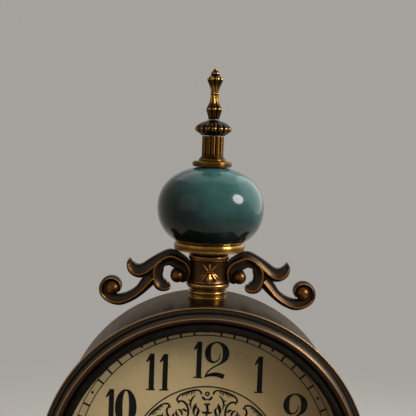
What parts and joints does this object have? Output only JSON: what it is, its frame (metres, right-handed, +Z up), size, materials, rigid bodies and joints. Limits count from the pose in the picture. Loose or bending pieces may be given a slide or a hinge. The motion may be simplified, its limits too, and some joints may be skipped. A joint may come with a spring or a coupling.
{
  "type": "table clock",
  "caption": "Ornamental table clock: round drum with a glazed dial on a ceramic and bronze pedestal, scrolled crest, glazed ball and turned finial, battery movement and hinged rear door.",
  "frame": {"origin": "middle of the base pad's underside, on the surface that the clock stands on", "axes": "+Z up, the dial faces -Y, +X to the right of someone who looks at the dial"},
  "size_m": [0.2374, 0.149, 0.5072],
  "materials": {
    "bronze": "dark antique bronze, rubbed to copper on its edges",
    "gold_brass": "polished antique brass",
    "drum_metal": "dark grey-brown satin",
    "glaze": "glossy blue-green glaze with fine crackle",
    "black_lip": "black satin",
    "dial_print": "cream dial print, aged",
    "clear_glass": "clear flat glass",
    "hand_black": "black painted",
    "steel": "zinc plated",
    "dark_plastic": "moulded, fine texture",
    "gear_plastic": "natural moulded",
    "felt": "dark green felt",
    "cell_wrap": "plain gloss sleeve",
    "circuit": "satin solder mask",
    "copper_wire": "enamelled winding"
  },
  "bodies": {
    "clock_body": {"base_pad": "felt", "plinth": "bronze", "pedestal_ring_foot": "gold_brass", "pedestal_ball": "glaze", "pedestal_ring_top": "gold_brass", "lower_hub": "bronze", "side_scroll_left": "bronze", "side_scroll_right": "bronze", "lower_collar": "gold_brass", "pedestal_rod": "steel", "pedestal_nut_foot": "steel", "pedestal_washer_foot": "steel", "pedestal_nut_top": "steel", "pedestal_washer_top": "steel", "drum_shell": "drum_metal", "bezel": "bronze", "throat_ring": "black_lip", "glass": "clear_glass", "dial_spacer": "black_lip", "dial": "dial_print", "back_plate": "drum_metal", "back_screw_1": "steel", "back_screw_2": "steel", "back_screw_3": "steel", "door_hinge_leaf": "gold_brass", "door_hinge_pin": "steel", "door_magnet": "steel", "movement_case": "dark_plastic", "movement_cover": "dark_plastic", "dial_washer": "dark_plastic", "dial_nut": "gold_brass", "battery": "cell_wrap", "contact_plus": "steel", "contact_minus": "steel", "circuit_board": "circuit", "motor_unit": "dark_plastic", "motor_coil": "copper_wire", "crest_collar": "gold_brass", "crest_hub": "bronze", "crest_scroll_left": "bronze", "crest_scroll_right": "bronze", "ball_seat_ring": "gold_brass", "crest_ball": "glaze", "finial_flange": "gold_brass", "finial_column": "gold_brass", "finial_gadroon": "gold_brass", "finial_spire": "gold_brass", "crest_rod": "steel", "crest_rod_nut": "steel", "crest_rod_washer": "steel"},
    "minutes": {"cannon_pinion": "gear_plastic", "minute_hand": "hand_black"},
    "hours": {"hour_wheel": "gear_plastic", "hour_hand": "hand_black"},
    "setting": {"minute_wheel": "gear_plastic", "set_knob": "dark_plastic"},
    "seconds": {"seconds_arbor": "steel", "second_hand": "hand_black"},
    "access_door": {"rear_door": "drum_metal", "door_pull": "gold_brass"}
  },
  "joints": [
    {"name": "minute_turn", "type": "hinge", "parent": "clock_body", "child": "minutes", "pos_m": [0, -0.0352, 0.2503], "axis": [0, 1, 0], "continuous": true},
    {"name": "hour_turn", "type": "hinge", "parent": "clock_body", "child": "hours", "pos_m": [0, -0.0352, 0.2503], "axis": [0, 1, 0], "continuous": true},
    {"name": "set_turn", "type": "hinge", "parent": "clock_body", "child": "setting", "pos_m": [0, -0.0222, 0.2403], "axis": [0, 1, 0], "continuous": true},
    {"name": "second_turn", "type": "hinge", "parent": "clock_body", "child": "seconds", "pos_m": [0, -0.0352, 0.2503], "axis": [0, 1, 0], "continuous": true},
    {"name": "door_swing", "type": "hinge", "parent": "clock_body", "child": "access_door", "pos_m": [0.042, 0.0291, 0.2423], "axis": [0, 0, -1], "range_deg": [0, 105]}
  ],
  "couplings": [
    {"joint": "hour_turn", "follows": "minute_turn", "ratio": 0.083333},
    {"joint": "set_turn", "follows": "minute_turn", "ratio": -0.33333}
  ]
}
